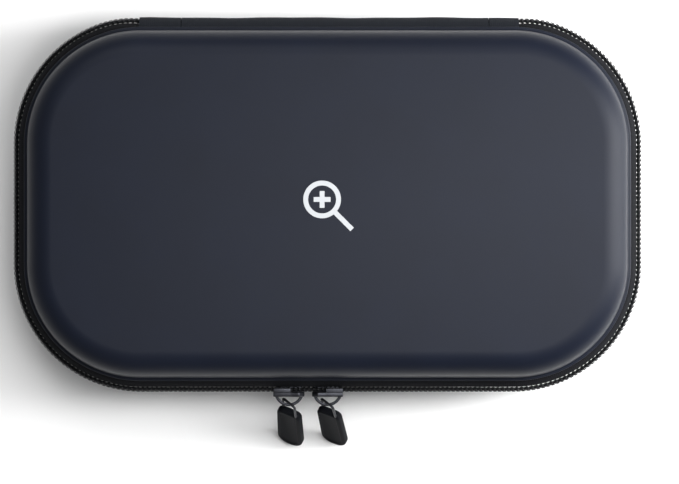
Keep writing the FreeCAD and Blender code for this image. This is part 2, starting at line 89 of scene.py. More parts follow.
# %% [markdown]
# ## One path for everything
# The zip, the tapes, the bindings and the shells all follow the rim. So one function walks round it: it
# takes a distance from the middle of the back and gives the place there and the direction outwards. Moving
# a point along that direction gives any parallel outline, so no second outline has to be drawn.

# %% Walk round the rim
STRAIGHT_X = 2 * (RIM_X - RIM_CORNER)
STRAIGHT_Y = 2 * (RIM_Y - RIM_CORNER)
QUARTER = RIM_CORNER * math.pi / 2
RIM_LENGTH = 2 * STRAIGHT_X + 2 * STRAIGHT_Y + 4 * QUARTER


def rim(distance):
    """Places on the rim and directions outwards, for distances from the middle of the back, leftwards."""
    d = (np.asarray(distance, float) + STRAIGHT_X / 2) % RIM_LENGTH
    place = np.zeros(d.shape + (2,))
    outward = np.zeros(d.shape + (2,))
    start, angle = 0.0, math.pi / 2
    at = np.array([STRAIGHT_X / 2, RIM_Y])
    for straight in (STRAIGHT_X, STRAIGHT_Y, STRAIGHT_X, STRAIGHT_Y):
        along = np.array([-math.sin(angle), math.cos(angle)])
        out = np.array([math.cos(angle), math.sin(angle)])
        here = (d >= start) & (d < start + straight)
        place[here] = at + (d[here] - start)[:, None] * along
        outward[here] = out
        start, at = start + straight, at + straight * along
        centre = at - RIM_CORNER * out
        here = (d >= start) & (d < start + QUARTER)
        turn = angle + (d[here] - start) / RIM_CORNER
        outward[here] = np.stack([np.cos(turn), np.sin(turn)], axis=-1)
        place[here] = centre + RIM_CORNER * outward[here]
        start, angle = start + QUARTER, angle + math.pi / 2
        at = centre + RIM_CORNER * np.array([math.cos(angle), math.sin(angle)])
    return place, outward


def distances(start, end, step):
    """Evenly spaced distances along the rim, both ends included."""
    return np.linspace(start, end, max(2, round((end - start) / step) + 1))


TAB_MARGIN, UNDER_TAB = 0.2, 3
ZIP_LEFT = -float(node_box("left_end_tab")[0][0]) + TAB_MARGIN
ZIP_RIGHT = float(node_box("right_end_tab")[1][0]) + TAB_MARGIN
ZIP_START, ZIP_END = ZIP_LEFT - UNDER_TAB, RIM_LENGTH - ZIP_RIGHT + UNDER_TAB
TUCK, TUCK_LENGTH = 1.1, 14.0


def tuck(at, _=None):
    """How far the zip draws in near its two ends, where the end tabs cover it."""
    near = np.minimum(at - ZIP_START, ZIP_END - at)
    return -TUCK * np.clip(1 - near / TUCK_LENGTH, 0, 1) ** 2


print(f"rim {RIM_LENGTH:.1f} mm round, zip {ZIP_END - ZIP_START:.1f} mm of it")

# %% [markdown]
# ## Making meshes
# A swept piece is a grid: rows along its path, columns round its section. Its UV map holds real lengths,
# so a weave keeps its thread spacing round a corner. A moulded piece is a stack of rings of one outline.

# %% Mesh helpers
def add_object(name, points, faces, uvs=None, sharp=40):
    """An object at the origin with its place in its mesh; points are in millimetres."""
    mesh = bpy.data.meshes.new(name)
    mesh.from_pydata((np.asarray(points).reshape(-1, 3) * MM).tolist(), [], faces)
    if uvs is not None:
        layer = mesh.uv_layers.new(name="lengths")
        layer.data.foreach_set("uv", np.asarray(uvs, np.float32).ravel() * MM)
    obj = bpy.data.objects.new(name, mesh)
    bpy.context.collection.objects.link(obj)
    tidy_surface(obj, sharp)
    return obj


def tidy_surface(obj, sharp=40):
    """Faces outwards, smooth, with edges over that angle kept sharp."""
    work = bmesh.new()
    work.from_mesh(obj.data)
    bmesh.ops.recalc_face_normals(work, faces=work.faces)
    work.to_mesh(obj.data)
    work.free()
    obj.data.shade_smooth()
    obj.data.set_sharp_from_angle(angle=math.radians(sharp))


def lengths(points, closed):
    """Distance run along a row of points, with the closing step where the row is a loop."""
    points = np.asarray(points, float)
    following = np.roll(points, -1, axis=0) if closed else points[1:]
    steps = np.linalg.norm(following - points[: len(following)], axis=-1)
    return np.concatenate([[0], np.cumsum(steps)])


def sweep(name, grid, close_path=False, close_section=True, sharp=40):
    """A skin over grid[row][column], rows along the path and columns round the section."""
    grid = np.asarray(grid, float)
    rows, columns = grid.shape[:2]
    along = lengths(grid[:, 0], close_path)
    across = lengths(grid[0], close_section)
    faces, uvs = [], []
    for i in range(rows if close_path else rows - 1):
        for j in range(columns if close_section else columns - 1):
            corners = ((i, j), (i + 1, j), (i + 1, j + 1), (i, j + 1))
            faces.append([(a % rows) * columns + b % columns for a, b in corners])
            uvs.extend((along[a], across[b]) for a, b in corners)
    if close_section and not close_path:
        for row in (0, rows - 1):
            faces.append([row * columns + j for j in range(columns)])
            uvs.extend((along[row], across[j]) for j in range(columns))
    return add_object(name, grid, faces, uvs, sharp)


def follow_rim(section, at, wobble=None):
    """Grid of a section (distance outside the rim, height above the middle plane) at places along the rim."""
    section = np.asarray(section, float)
    place, outward = rim(at)
    reach = np.broadcast_to(section[:, 0], (len(at), len(section))).copy()
    height = np.broadcast_to(section[:, 1], (len(at), len(section))).copy()
    if wobble is not None:
        reach += wobble(np.asarray(at)[:, None], height)
    flat = place[:, None, :] + reach[..., None] * outward[:, None, :]
    return np.concatenate([flat, (MIDDLE + height)[..., None]], axis=-1)


def ribbon_section(centreline, thickness):
    """The closed outline of a strip of that thickness about a centreline, with square ends."""
    line = np.asarray(centreline, float)
    steps = np.diff(line, axis=0)
    steps /= np.linalg.norm(steps, axis=1)[:, None]
    tangents = np.vstack([steps[:1], steps[:-1] + steps[1:], steps[-1:]])
    tangents /= np.linalg.norm(tangents, axis=1)[:, None]
    sides = np.stack([-tangents[:, 1], tangents[:, 0]], axis=1) * thickness / 2
    return np.vstack([line + sides, (line - sides)[::-1]])


def soften(points, times=2):
    """Cut an open line's corners, keeping its ends."""
    points = np.asarray(points, float)
    for _ in range(times):
        near = 0.75 * points[:-1] + 0.25 * points[1:]
        far = 0.25 * points[:-1] + 0.75 * points[1:]
        middle = np.stack([near, far], axis=1).reshape(-1, points.shape[1])
        points = np.vstack([points[:1], middle[1:-1], points[-1:]])
    return points


def stack(name, outline, outward, rings, place, sharp=40):
    """A closed solid of rings: each is the outline moved in by an inset, at a height, put in place."""
    layers = [place(outline - inset * outward, height) for inset, height in rings]
    grid = np.asarray(layers, float)
    rows, columns = grid.shape[:2]
    faces = []
    for i in range(rows - 1):
        for j in range(columns):
            k = (j + 1) % columns
            faces.append([i * columns + j, i * columns + k, (i + 1) * columns + k, (i + 1) * columns + j])
    faces.append(list(range(columns)))
    faces.append([(rows - 1) * columns + j for j in range(columns)])
    return add_object(name, grid, faces, None, sharp)


print("mesh helpers ready")

# %% [markdown]
# ## Repeats with Geometry Nodes
# A zip has hundreds of coil turns and a seam has hundreds of stitches. Drawing one and letting a node tree
# set it out along a curve keeps the spacing exact. The tree ends in Realize Instances, so what comes out is
# an ordinary mesh.

# %% Node helpers and the tree that repeats a piece along a curve
def node(tree, kind, inputs=None, **settings):
    """Add a node, set its properties, and fill its inputs with values or link them to sockets."""
    made = tree.nodes.new(kind)
    for key, value in settings.items():
        setattr(made, key, value)
    for key, value in (inputs or {}).items():
        if isinstance(value, bpy.types.NodeSocket):
            tree.links.new(value, made.inputs[key])
        else:
            made.inputs[key].default_value = value
    return made


def start_tree(name, **inputs):
    """A geometry tree with named inputs of those kinds; returns it and the sockets that give them."""
    tree = bpy.data.node_groups.new(name, "GeometryNodeTree")
    for label, kind in inputs.items():
        tree.interface.new_socket(label, in_out="INPUT", socket_type="NodeSocket" + kind)
    tree.interface.new_socket("Mesh", in_out="OUTPUT", socket_type="NodeSocketGeometry")
    return tree, tree.nodes.new("NodeGroupInput").outputs


def end_tree(tree, geometry, material):
    """Realize what the tree made, give it its material and hand it out."""
    real = node(tree, "GeometryNodeRealizeInstances", {"Geometry": geometry})
    finish = node(tree, "GeometryNodeSetMaterial",
                  {"Geometry": real.outputs["Geometry"], "Material": material})
    out = tree.nodes.new("NodeGroupOutput")
    tree.links.new(finish.outputs["Geometry"], out.inputs["Mesh"])
    return tree


def run_tree(name, carrier, tree, values):
    """Run a tree on an object with its inputs set, drop the object and return the plain mesh's own."""
    modifier = carrier.modifiers.new("tree", "NODES")
    modifier.node_group = tree
    for item in tree.interface.items_tree:
        if item.in_out == "INPUT" and item.name in values:
            modifier[item.identifier] = values[item.name]
    evaluated = carrier.evaluated_get(bpy.context.evaluated_depsgraph_get())
    mesh = bpy.data.meshes.new_from_object(evaluated)
    mesh.name = name
    bpy.data.objects.remove(carrier)
    obj = bpy.data.objects.new(name, mesh)
    bpy.context.collection.objects.link(obj)
    mesh.shade_smooth()
    return obj


def repeat_tree():
    tree, given = start_tree("repeat along a curve", Path="Geometry", Spacing="Float", Piece="Object",
                             Finish="Material")
    points = node(tree, "GeometryNodeCurveToPoints", {"Curve": given["Path"], "Length": given["Spacing"]},
                  mode="LENGTH")
    turn = node(tree, "FunctionNodeAlignRotationToVector", {"Vector": points.outputs["Tangent"]},
                axis="X", pivot_axis="Z")
    piece = node(tree, "GeometryNodeObjectInfo", {"Object": given["Piece"], "As Instance": True})
    set_out = node(tree, "GeometryNodeInstanceOnPoints",
                   {"Points": points.outputs["Points"], "Instance": piece.outputs["Geometry"],
                    "Rotation": turn.outputs["Rotation"]})
    return end_tree(tree, set_out.outputs["Instances"], given["Finish"])


REPEAT = repeat_tree()


def repeat_along(name, path, piece, spacing, finish):
    """Set a piece out along a path of points, both in millimetres, and return the plain mesh object."""
    curve = bpy.data.curves.new(name, "CURVE")
    curve.dimensions = "3D"
    spline = curve.splines.new("POLY")
    spline.points.add(len(path) - 1)
    coordinates = np.hstack([np.asarray(path) * MM, np.ones((len(path), 1))])
    spline.points.foreach_set("co", coordinates.astype(np.float32).ravel())
    carrier = bpy.data.objects.new(name + "_path", curve)
    bpy.context.collection.objects.link(carrier)
    obj = run_tree(name, carrier, REPEAT, {"Spacing": spacing * MM, "Piece": piece, "Finish": finish})
    bpy.data.objects.remove(piece)
    return obj


print("repeat tree has", len(REPEAT.nodes), "nodes")

# %% [markdown]
# ## Finishes
# Each finish starts from what the real material is. Colours are written as sRGB hex, as a swatch card
# gives them, and one function turns them to the linear values that a shader works in.

# %% Colour and material helpers
def colour(text):
    """sRGB hex to linear RGBA."""
    channels = [int(text[i:i + 2], 16) / 255 for i in (1, 3, 5)]
    linear = [c / 12.92 if c <= 0.04045 else ((c + 0.055) / 1.055) ** 2.4 for c in channels]
    return (*linear, 1.0)


def new_material(name, **sockets):
    """A material with its Principled shader set; returns the material, its tree and the shader."""
    material = bpy.data.materials.new(name)
    material.use_nodes = True
    tree = material.node_tree
    shader = tree.nodes["Principled BSDF"]
    for key, value in sockets.items():
        shader.inputs[key.replace("_", " ")].default_value = value
    return material, tree, shader


def vary(tree, shader, place, low, high, scale, detail=3.0):
    """Let the base colour drift between two shades, as a dyed or coated surface does."""
    noise = node(tree, "ShaderNodeTexNoise", {"Vector": place, "Scale": scale, "Detail": detail})
    mix = node(tree, "ShaderNodeMix", {"Factor": noise.outputs["Fac"]}, data_type="RGBA")
    # a colour mix also has hidden number sockets named A and B, so its colours are reached by position
    mix.inputs[6].default_value = colour(low)
    mix.inputs[7].default_value = colour(high)
    tree.links.new(mix.outputs[2], shader.inputs["Base Color"])
    return noise


def emboss(tree, shader, height, strength, depth):
    """Turn a height pattern into bump; depth is in metres."""
    bump = node(tree, "ShaderNodeBump", {"Height": height, "Strength": strength, "Distance": depth})
    tree.links.new(bump.outputs["Normal"], shader.inputs["Normal"])


def object_place(tree):
    return tree.nodes.new("ShaderNodeTexCoord").outputs["Object"]


def strip_place(tree):
    return node(tree, "ShaderNodeUVMap", uv_map="lengths").outputs["UV"]


def math_node(tree, operation, a, b):
    return node(tree, "ShaderNodeMath", {0: a, 1: b}, operation=operation).outputs[0]


print("material helpers ready")

# %% [markdown]
# ### Polyurethane-coated fabric
# The skins are pressed from knitted cloth with a soft-touch polyurethane coat. The coat is nearly smooth,
# so it gives a wide, soft highlight. Its grain is about 0.4 mm: a fine cell pattern with a shallow bump.

# %% Coated fabric
GRAIN_MM = 0.4
GRAIN_STRENGTH, GRAIN_DEPTH = 0.12, 0.00006


def coated_fabric():
    material, tree, shader = new_material("polyurethane coated fabric", Roughness=0.5, IOR=1.46,
                                          Specular_IOR_Level=0.2)
    place = object_place(tree)
    vary(tree, shader, place, "#0A0F1B", "#0D1321", 60.0)
    cells = node(tree, "ShaderNodeTexVoronoi", {"Vector": place, "Scale": 1 / (GRAIN_MM * MM)},
                 feature="SMOOTH_F1")
    emboss(tree, shader, cells.outputs["Distance"], GRAIN_STRENGTH, GRAIN_DEPTH)
    return material


SKIN = coated_fabric()

# %% [markdown]
# ### Woven polyester tape, knit lining, webbing
# The tape and the spine are plain-woven polyester. A weave is two sets of threads that cross: two waves at
# right angles, multiplied, give the small pillows where one thread passes over the other.

# %% Woven fabrics
# a wave texture at scale 1 repeats each 0.314 metres
WAVE_LENGTH = 0.314


def woven(name, low, high, thread_mm, roughness=0.85, depth=0.00012, skew=1.0, strips=True):
    """Plain weave with threads that far apart; skew other than 1 makes one set coarser."""
    material, tree, shader = new_material(name, Roughness=roughness, Specular_IOR_Level=0.2)
    place = strip_place(tree) if strips else object_place(tree)
    waves = []
    for direction, stretch in (("X", 1.0), ("Y", skew)):
        waves.append(node(tree, "ShaderNodeTexWave",
                          {"Vector": place, "Scale": WAVE_LENGTH / (thread_mm * stretch * MM)},
                          bands_direction=direction, wave_profile="SIN").outputs["Fac"])
    pillows = math_node(tree, "MULTIPLY", *waves)
    vary(tree, shader, place, low, high, 400.0)
    emboss(tree, shader, pillows, 0.6, depth)
    return material


TAPE = woven("woven polyester tape", "#050609", "#0C0D12", 0.55)
SPINE = woven("woven polyester spine", "#0F1217", "#161A21", 0.6)
BINDING = woven("ribbed binding tape", "#101115", "#1A1B20", 0.7, skew=2.5)
ELASTIC = woven("ribbed elastic webbing", "#111216", "#1E2025", 1.1, skew=0.45, depth=0.0003)
LINING = woven("brushed knit lining", "#1E2126", "#2A2D34", 0.8, roughness=0.95, strips=False)
print("fabrics:", [m.name for m in (TAPE, SPINE, BINDING, ELASTIC, LINING)])

# %% [markdown]
# ### Nylon, sewing thread, foam, gunmetal, rubber and print
# Nylon monofilament is smooth and a little glossy. The sliders are die-cast zinc with a dark plating that
# drifts between two shades. The pulls are matt moulded rubber, and the sign is a printed film.

# %% Hard and moulded finishes
def speckled(name, low, high, scale, bump=0.0, depth=0.00005, **sockets):
    """A moulded or plated surface: shade drift and, if wanted, a fine texture."""
    material, tree, shader = new_material(name, **sockets)
    noise = vary(tree, shader, object_place(tree), low, high, scale)
    if bump:
        emboss(tree, shader, noise.outputs["Fac"], bump, depth)
    return material


NYLON = speckled("nylon monofilament", "#08090B", "#0F1013", 300.0, Roughness=0.5, IOR=1.53,
                 Specular_IOR_Level=0.25)
THREAD = speckled("polyester sewing thread", "#0B0C0E", "#131417", 900.0, bump=0.4, Roughness=0.85,
                  Specular_IOR_Level=0.2)
SEAM_THREAD = speckled("lock-stitch thread", "#2A2C31", "#36383E", 900.0, bump=0.4, Roughness=0.85,
                       Specular_IOR_Level=0.2)
FOAM = speckled("closed-cell foam", "#1A1B1E", "#26272B", 900.0, bump=0.5, Roughness=0.95)
GUNMETAL = speckled("gunmetal plated zinc", "#242529", "#3A3B40", 500.0, bump=0.08, Metallic=0.9,
                    Roughness=0.36)
RUBBER = speckled("moulded rubber", "#07090D", "#0C0E13", 1400.0, bump=0.2, Roughness=0.7, IOR=1.5,
                  Specular_IOR_Level=0.1)
PRINT = speckled("printed film", "#A6A9AD", "#AFB2B5", 200.0, Roughness=0.55)
NET = speckled("polyester net yarn", "#0D0E11", "#1B1C20", 700.0, bump=0.3, Roughness=0.8)
print("finishes ready")

# %% [markdown]
# ## Putting a piece on its body
# Every piece follows one body, stands in for the CAD node it shows, and takes a finish.

# %% Finish a piece
def finish_piece(obj, body, material, *nodes, slot=None):
    if not obj.data.materials:
        obj.data.materials.append(material)
    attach(obj, body)
    if nodes:
        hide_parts(*nodes)
    return obj


def sign_of(half):
    return 1 if half == "lid" else -1


# %% [markdown]
# ## The half shells
# Each skin is pressed over a mould, so its shoulder has no crease: a narrow flange, a small hollow, a wall
# with draft and a wide shoulder, all round. Stacking rings of the rim's outline gives that in one piece and
# keeps the highlight unbroken. The lining follows the same rule further in.

# %% Skins and linings
FLANGE_WIDTH, FLANGE_HEIGHT = 0.8, 2.0
DRAFT = math.radians(6)
SHOULDER, FLARE = 8.0, 0.5
EDGE = 0.35
FLARE_STEPS, SHOULDER_STEPS, RIM_STEPS = 9, 25, 420


def form_rings(depth, rim_inset, rim_height):
    """Rings up one face of the shell, from the rim's plane to the flat of the top."""
    wall = FLANGE_WIDTH + depth / math.cos(DRAFT)
    top, shoulder = TOP - depth, SHOULDER - depth
    rings = []
    if rim_height:
        ledge = GAP + rim_height
        foot = wall + rim_height * math.tan(DRAFT) - FLARE * math.tan((math.pi / 2 - DRAFT) / 2)
        bevel = min(EDGE, rim_height / 3)
        rings += [(rim_inset + bevel, GAP), (rim_inset, GAP + bevel), (rim_inset, ledge - bevel)]
        rings += [(rim_inset + bevel * 0.3, ledge - bevel * 0.3), (rim_inset + bevel, ledge)]
        for turn in np.linspace(0, math.pi / 2 - DRAFT, FLARE_STEPS):
            rings.append((foot + FLARE * math.sin(turn), ledge + FLARE * (1 - math.cos(turn))))
    else:
        rings.append((wall, GAP))
    centre = wall + (top - shoulder - GAP) * math.tan(DRAFT) + shoulder / math.cos(DRAFT)
    for turn in np.linspace(DRAFT, math.pi / 2, SHOULDER_STEPS):
        rings.append((centre - shoulder * math.cos(turn), top - shoulder + shoulder * math.sin(turn)))
    return rings


def shell(name, half, outer, inner):
    at = np.arange(0, RIM_LENGTH, RIM_LENGTH / RIM_STEPS)
    outline, outward = rim(at)
    side = sign_of(half)

    def place(points, height):
        return np.column_stack([points, np.full(len(points), MIDDLE + side * height)])

    return stack(name, outline, outward, inner[::-1] + outer, place, sharp=50)


SKIN_DEPTH, LINING_DEPTH, CAVITY_DEPTH = 1.0, 4.0, 4.6
STEP_IN, SKIN_STEP, LINING_STEP = 0.8, 1.2, 0.5
for half in ("base", "lid"):
    skin = shell(f"{half}_moulded_skin", half, form_rings(0, 0, FLANGE_HEIGHT),
                 form_rings(SKIN_DEPTH, STEP_IN, SKIN_STEP))
    finish_piece(skin, half, SKIN, f"{half}_skin", slot="skin")
    lining = shell(f"{half}_knit_lining", half, form_rings(LINING_DEPTH, STEP_IN, LINING_STEP),
                   form_rings(CAVITY_DEPTH, 0, 0))
    finish_piece(lining, half, LINING, f"{half}_lining", slot="lining")
    print(half, "skin faces:", len(skin.data.polygons), "lining faces:", len(lining.data.polygons))

# %% [markdown]
# ## Zip tapes
# A tape is sewn under each flange, comes out past the rim and turns down to the coil. Its section is a bent
# line given a thickness, swept round the rim. Its UV map holds lengths, so the weave runs along it.

# %% Tapes
TAPE_LINE = [(-4.6, 4.65), (-0.3, 4.65), (1.7, 3.2), (1.8, 0.4)]
TAPE_THICKNESS, TAPE_STEP = 0.55, 1.2
for half in ("base", "lid"):
    section = ribbon_section(soften(TAPE_LINE), TAPE_THICKNESS) * (1, sign_of(half))
    at = distances(ZIP_START, ZIP_END, TAPE_STEP)
    tape = sweep(f"{half}_woven_tape", follow_rim(section, at, tuck), sharp=60)
    finish_piece(tape, half, TAPE, f"{half}_zip_tape", slot="tape")
    print(half, "tape", round(ZIP_END - ZIP_START), "mm long")

# %% [markdown]
# ## Coil turns
# A coil zip is one nylon filament wound round a cord. One turn is a slanted loop of wire, pressed a little
# flat. The two rows are half a turn out of step, so their heads lie between each other at the middle plane.

# %% One turn, and a row of them for each half
PITCH = 1.45
WIRE_ACROSS, WIRE_ALONG = 0.27, 0.36
COIL_IN, COIL_OUT = 2.15, 3.4
COIL_HEAD, COIL_TAIL = -0.25, 2.95
SLANT, SQUARENESS = 0.42, 0.6
TURN_STEPS, WIRE_STEPS, PATH_STEP = 14, 6, 0.7
CORD_MARGIN, CORD_LOW, CORD_HIGH = 0.35, 0.9, 2.4


def tube(path, radius, steps, squash=1.0):
    """Grid of a tube about a closed path; squash stretches it at right angles to the path's plane."""
    tangents = np.roll(path, -1, axis=0) - np.roll(path, 1, axis=0)
    tangents /= np.linalg.norm(tangents, axis=1)[:, None]
    spread = path - path.mean(axis=0)
    plane = np.linalg.svd(spread)[2][2]
    side = np.cross(tangents, plane)
    side /= np.linalg.norm(side, axis=1)[:, None]
    up = np.cross(side, tangents)
    around = np.linspace(0, 2 * math.pi, steps, endpoint=False)
    across, along = np.cos(around)[None, :, None], np.sin(around)[None, :, None]
    ring = across * side[:, None] + along * up[:, None] * squash
    return path[:, None] + radius * ring


def zip_path(start, end):
    """The line in the middle plane that the turns are set out along."""
    at = distances(start, end, PATH_STEP)
    place, outward = rim(at)
    return np.column_stack([place + tuck(at)[:, None] * outward, np.full(len(at), MIDDLE)])


def coil_turn(side):
    """One turn about the path's own axes: x along it, -y outwards, z up."""
    phase = np.linspace(0, 2 * math.pi, TURN_STEPS, endpoint=False)
    half_reach = (COIL_OUT - COIL_IN) / 2 - WIRE_ACROSS
    half_height = (COIL_TAIL - COIL_HEAD) / 2 - WIRE_ACROSS
    squared = np.sign(np.cos(phase)) * np.abs(np.cos(phase)) ** SQUARENESS
    reach = (COIL_OUT + COIL_IN) / 2 + half_reach * squared
    height = (COIL_TAIL + COIL_HEAD) / 2 + half_height * np.sin(phase)
    path = np.column_stack([SLANT * np.sin(phase), -reach, side * height])
    wire = tube(path, WIRE_ACROSS, WIRE_STEPS, squash=WIRE_ALONG / WIRE_ACROSS)
    return sweep(f"turn_{side}", wire, close_path=True, sharp=80)


for half in ("base", "lid"):
    shift = 0 if half == "lid" else PITCH / 2
    path = zip_path(ZIP_START + shift, ZIP_END - PITCH)
    turn = coil_turn(sign_of(half))
    coil = repeat_along(f"{half}_coil_turns", path, turn, PITCH, NYLON)
    finish_piece(coil, half, NYLON, f"{half}_zip_coil", slot="coil")
    near, far = COIL_IN + CORD_MARGIN, COIL_OUT - CORD_MARGIN
    cord = [(near, CORD_LOW), (far, CORD_LOW), (far, CORD_HIGH), (near, CORD_HIGH)]
    at = distances(ZIP_START, ZIP_END, TAPE_STEP)
    core = follow_rim(np.array(cord) * (1, sign_of(half)), at, tuck)
    finish_piece(sweep(f"{half}_core_cord", core), half, THREAD, slot="coil")
    print(half, "coil faces:", len(coil.data.polygons))

# %% [markdown]
# ## Stitches
# The coil is sewn to its tape with a row of thread, one stitch to each turn. A stitch is a short fat
# thread, thinner at both ends, where it goes into the cloth.

# %% Stitch rows over the coils
STITCH_SHARE = 0.8
STITCH_STEPS, STITCH_SIDES, THINNEST = 6, 5, 0.15
COIL_THREAD, COIL_THREAD_OUT, COIL_THREAD_HEIGHT = 0.13, 0.03, 2.1


def stitch(name, pitch, radius, centre):
    """A short thread along x, thinner at its ends, at a place given along y and z."""
    length = pitch * STITCH_SHARE
    at = np.linspace(-length / 2, length / 2, STITCH_STEPS)
    fat = radius * np.sqrt(np.clip(1 - (2 * at / length) ** 4, THINNEST, 1))
    around = np.linspace(0, 2 * math.pi, STITCH_SIDES, endpoint=False)
    rings = []
    for x, r in zip(at, fat):
        y, z = centre[0] + r * np.cos(around), centre[1] + r * np.sin(around)
        rings.append(np.column_stack([np.full(STITCH_SIDES, x), y, z]))
    return sweep(name, np.stack(rings), sharp=80)


for half in ("base", "lid"):
    path = zip_path(ZIP_START + 1, ZIP_END - 1)
    centre = (-(COIL_OUT + COIL_THREAD_OUT), sign_of(half) * COIL_THREAD_HEIGHT)
    one = stitch(f"stitch_{half}", PITCH, COIL_THREAD, centre)
    row = repeat_along(f"{half}_coil_stitches", path, one, PITCH, THREAD)
    finish_piece(row, half, THREAD, slot="coil")
    print(half, "stitch row faces:", len(row.data.polygons))

# %% [markdown]
# ## Bindings
# Inside, a ribbed tape covers each rim's raw edge. It is swept all round, so its path is closed.

# %% Bindings
BINDING_LINES = {"base": [(-1.4, 4.0), (-6.4, 4.0), (-7.0, 4.7)], "lid": [(-1.4, 4.0), (-6.9, 4.0)]}
BINDING_THICKNESS, BINDING_STEPS = 0.45, 400
for half, line in BINDING_LINES.items():
    section = ribbon_section(soften(line), BINDING_THICKNESS) * (1, sign_of(half))
    at = np.arange(0, RIM_LENGTH, RIM_LENGTH / BINDING_STEPS)
    ring = sweep(f"{half}_rim_binding", follow_rim(section, at), close_path=True, sharp=60)
    finish_piece(ring, half, BINDING, f"{half}_binding", slot="binding")
print("bindings done")

# %% [markdown]
# ## Spine, end tabs and spine lining
# The spine is a strip of fabric folded round the gap at the back. It is the hinge, but it is left where it
# is, riding on neither half, and nothing bends it. A woven strip is never dead flat: a slow ripple lifts it a
# little.

# %% Spine strips
SPINE_SEAT, SPINE_EDGE, SPINE_THICKNESS = 4.65, 4.6, 0.6
SPINE_REACH = float(node_box("spine_strip")[1][1]) - RIM_Y
INNER_SEAT, INNER_REACH, INNER_EDGE, INNER_THICKNESS = 3.35, 1.35, 8.2, 0.45


def fold_line(seat, reach, edge, steps=14):
    """The centreline of a strip folded round the gap: a flat leg, a half round, a flat leg."""
    bend = reach - seat
    turns = np.linspace(-math.pi / 2, math.pi / 2, steps)
    arc = [(bend + seat * math.cos(t), seat * math.sin(t)) for t in turns]
    return [(-edge, -seat)] + arc + [(-edge, seat)]


def ripple(at, height):
    """Up to 0.15 mm in or out, most at the middle of the strip."""
    across = np.clip(1 - (height / 4.5) ** 2, 0, 1)
    return across * (0.09 * np.sin(at / 7.0) + 0.06 * np.sin(at / 2.9 + 1.0) - 0.12)


def bend_across(obj, node_name, material):
    low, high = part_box(node_name)
    obj.data.materials.append(material)
    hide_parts(node_name)
    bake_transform(obj)


def cut_size(line, low, high):
    """A strip's flat size in metres: the length of its section's line, and its length along x."""
    cut = (float(lengths(line, False)[-1]) * MM, float(high[0] - low[0]) * MM)
    print("cut", [round(c / MM, 1) for c in cut], "mm")
    return cut


STRIPS = {"spine_strip": "spine_fabric", "left_end_tab": "left_tab_fabric",
          "right_end_tab": "right_tab_fabric"}
for node_name, piece_name in STRIPS.items():
    low, high = node_box(node_name)
    at = distances(-float(high[0]), -float(low[0]), 0.8)
    line = fold_line(SPINE_SEAT, SPINE_REACH - SPINE_THICKNESS / 2, SPINE_EDGE)
    strip = sweep(piece_name, follow_rim(ribbon_section(line, SPINE_THICKNESS), at, ripple), sharp=60)
    bend_across(strip, node_name, SPINE)
    cut = cut_size(line, low, high)

low, high = node_box("spine_lining")
line = fold_line(INNER_SEAT, INNER_REACH, INNER_EDGE)
at = distances(-float(high[0]), -float(low[0]), 1.5)
inner_strip = sweep("spine_inner_fabric", follow_rim(ribbon_section(line, INNER_THICKNESS), at), sharp=60)
bend_across(inner_strip, "spine_lining", LINING)
cut_size(line, low, high)

# %% [markdown]
# ## Sliders
# A slider is two plates joined by a thin web between the coils, with lips over the coils, and an arch that
# carries the pull. Each plate is an outline pushed to its thickness and bevelled, as a casting is.

# %% Blocks and sliders
def block(name, outline, start, length, bevel, nose_side, centre):
    """A bevelled block: an outline in x and z, from that far outside the rim, outwards."""
    near = -(RIM_Y + start)
    points = [(centre + nose_side * x, near, MIDDLE + z) for x, z in outline]
    points += [(x, near - length, z) for x, _, z in points]
    count = len(outline)
    faces = [list(range(count)), list(range(count, 2 * count))]
    faces += [[i, (i + 1) % count, count + (i + 1) % count, count + i] for i in range(count)]
    obj = add_object(name, points, faces, None, 30)
    work = bmesh.new()
    work.from_mesh(obj.data)
    bmesh.ops.bevel(work, geom=work.edges, offset=bevel * MM, segments=3, profile=0.6, affect="EDGES",
                    clamp_overlap=True)
    work.to_mesh(obj.data)
    work.free()
    tidy_surface(obj, 45)
    return obj


def join(name, parts):
    """Put several meshes into one object."""
    work = bmesh.new()
    for part in parts:
        work.from_mesh(part.data)
        bpy.data.objects.remove(part)
    mesh = bpy.data.meshes.new(name)
    work.to_mesh(mesh)
    work.free()
    mesh.shade_smooth()
    mesh.set_sharp_from_angle(angle=math.radians(45))
    obj = bpy.data.objects.new(name, mesh)
    bpy.context.collection.objects.link(obj)
    return obj


def rectangle(half_x, half_z):
    return [(-half_x, -half_z), (half_x, -half_z), (half_x, half_z), (-half_x, half_z)]


HALF_LENGTH, TAIL_HALF, NOSE_HALF, CHAMFER = 4.85, 4.0, 4.3, 1.7
PLATE_FACE, PLATE_THICKNESS, PLATE_BEVEL = 3.6, 1.5, 0.35
INNER_FACE, INNER_DEPTH, INNER_HALF, INNER_BEVEL = 0.2, 1.0, 2.7, 0.25
WEB_FACE, WEB_DEPTH, WEB_HALF, WEB_BEVEL = 1.1, 2.6, 0.1, 0.03
LIP_TOP, LIP_REACH, LIP_SUNK, LIP_BEVEL, TAIL = 3.25, 1.2, 0.3, 0.2, 5.4
GUIDE_MARGIN = 0.8


